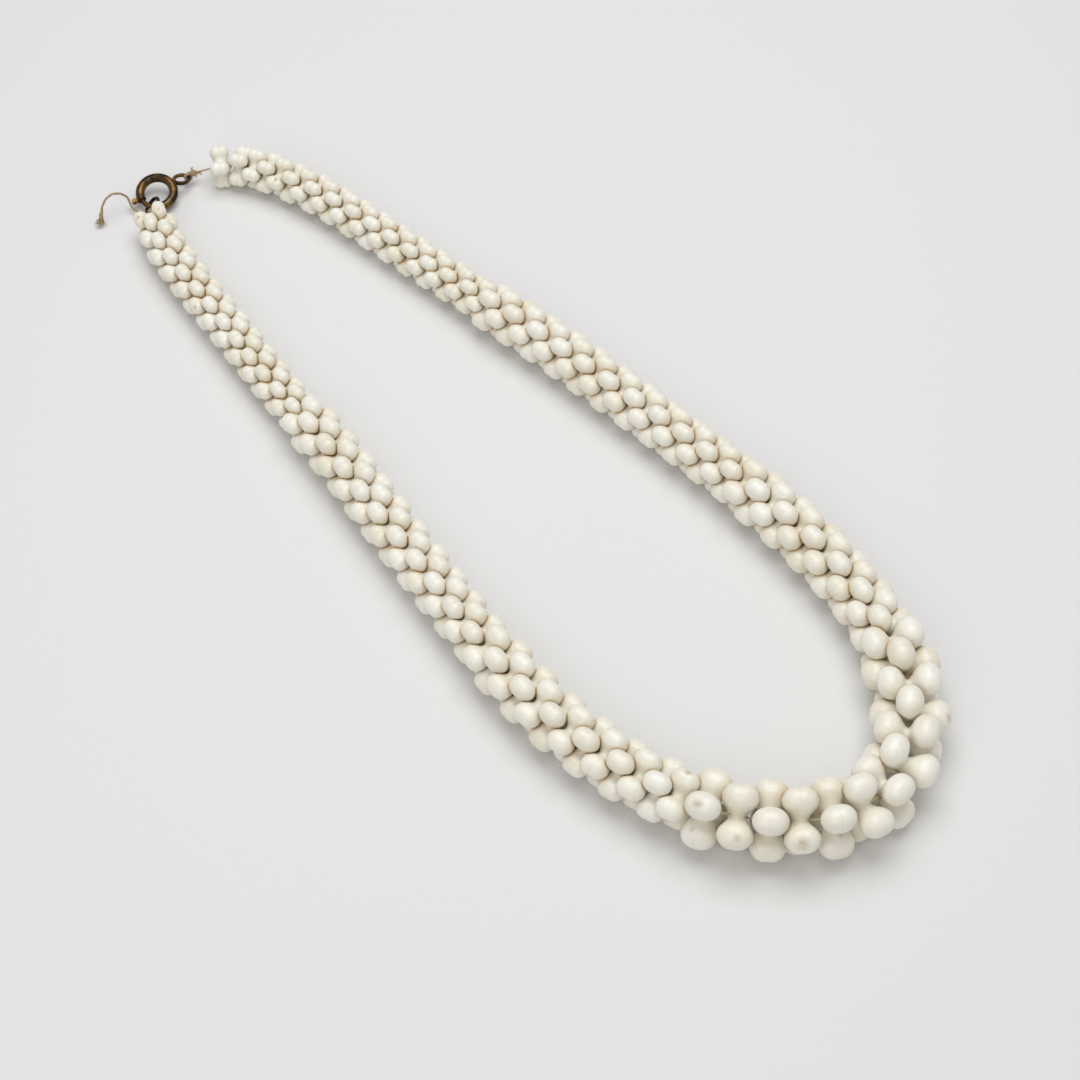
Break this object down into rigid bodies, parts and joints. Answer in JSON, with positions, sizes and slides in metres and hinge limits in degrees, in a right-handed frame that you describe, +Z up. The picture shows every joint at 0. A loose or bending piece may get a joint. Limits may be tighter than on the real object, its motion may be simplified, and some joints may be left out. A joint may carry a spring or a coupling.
{
  "type": "plastic bead necklace",
  "caption": "Clasped necklace of cream cross-shaped plastic beads that nest on a thread, closed by a brass spring-ring clasp, lying on a surface in a long curved loop.",
  "frame": {"origin": "middle of the bottom of the bounding box, on the surface that the necklace lies on", "axes": "+Z up from the surface; the loop lies along Y, its largest beads towards -Y and its clasp at the -X, +Y corner"},
  "size_m": [0.1478, 0.1542, 0.0129],
  "materials": {
    "bead_plastic": "moulded cream plastic, softly glossy, with brown grime in the hollows",
    "clasp_brass": "dark tarnished brass with worn golden highlights",
    "thread": "brown twisted thread, frayed at its cut end"
  },
  "bodies": {
    "string": {"left_strand_beads": "bead_plastic", "front_bead_01": "bead_plastic", "front_bead_02": "bead_plastic", "front_bead_03": "bead_plastic", "front_bead_04": "bead_plastic", "front_bead_05": "bead_plastic", "front_bead_06": "bead_plastic", "front_bead_07": "bead_plastic", "front_bead_08": "bead_plastic", "front_bead_09": "bead_plastic", "front_bead_10": "bead_plastic", "front_bead_11": "bead_plastic", "front_bead_12": "bead_plastic", "front_bead_13": "bead_plastic", "right_strand_beads": "bead_plastic", "stringing_thread": "thread", "clasp_ring": "clasp_brass", "end_ring": "clasp_brass", "end_ring_knot": "thread", "eyelet_knot": "thread", "thread_tail": "thread"},
    "bolt": {"clasp_bolt": "clasp_brass"}
  },
  "joints": [
    {"name": "bolt_slide", "type": "hinge", "parent": "string", "child": "bolt", "pos_m": [-0.06301, 0.06805, 0.00225], "axis": [0, -0.2756, 0.9613], "range_deg": [-58, 0], "stiffness_Nm_per_rad": 0.0002, "springref_deg": 17.19}
  ]
}
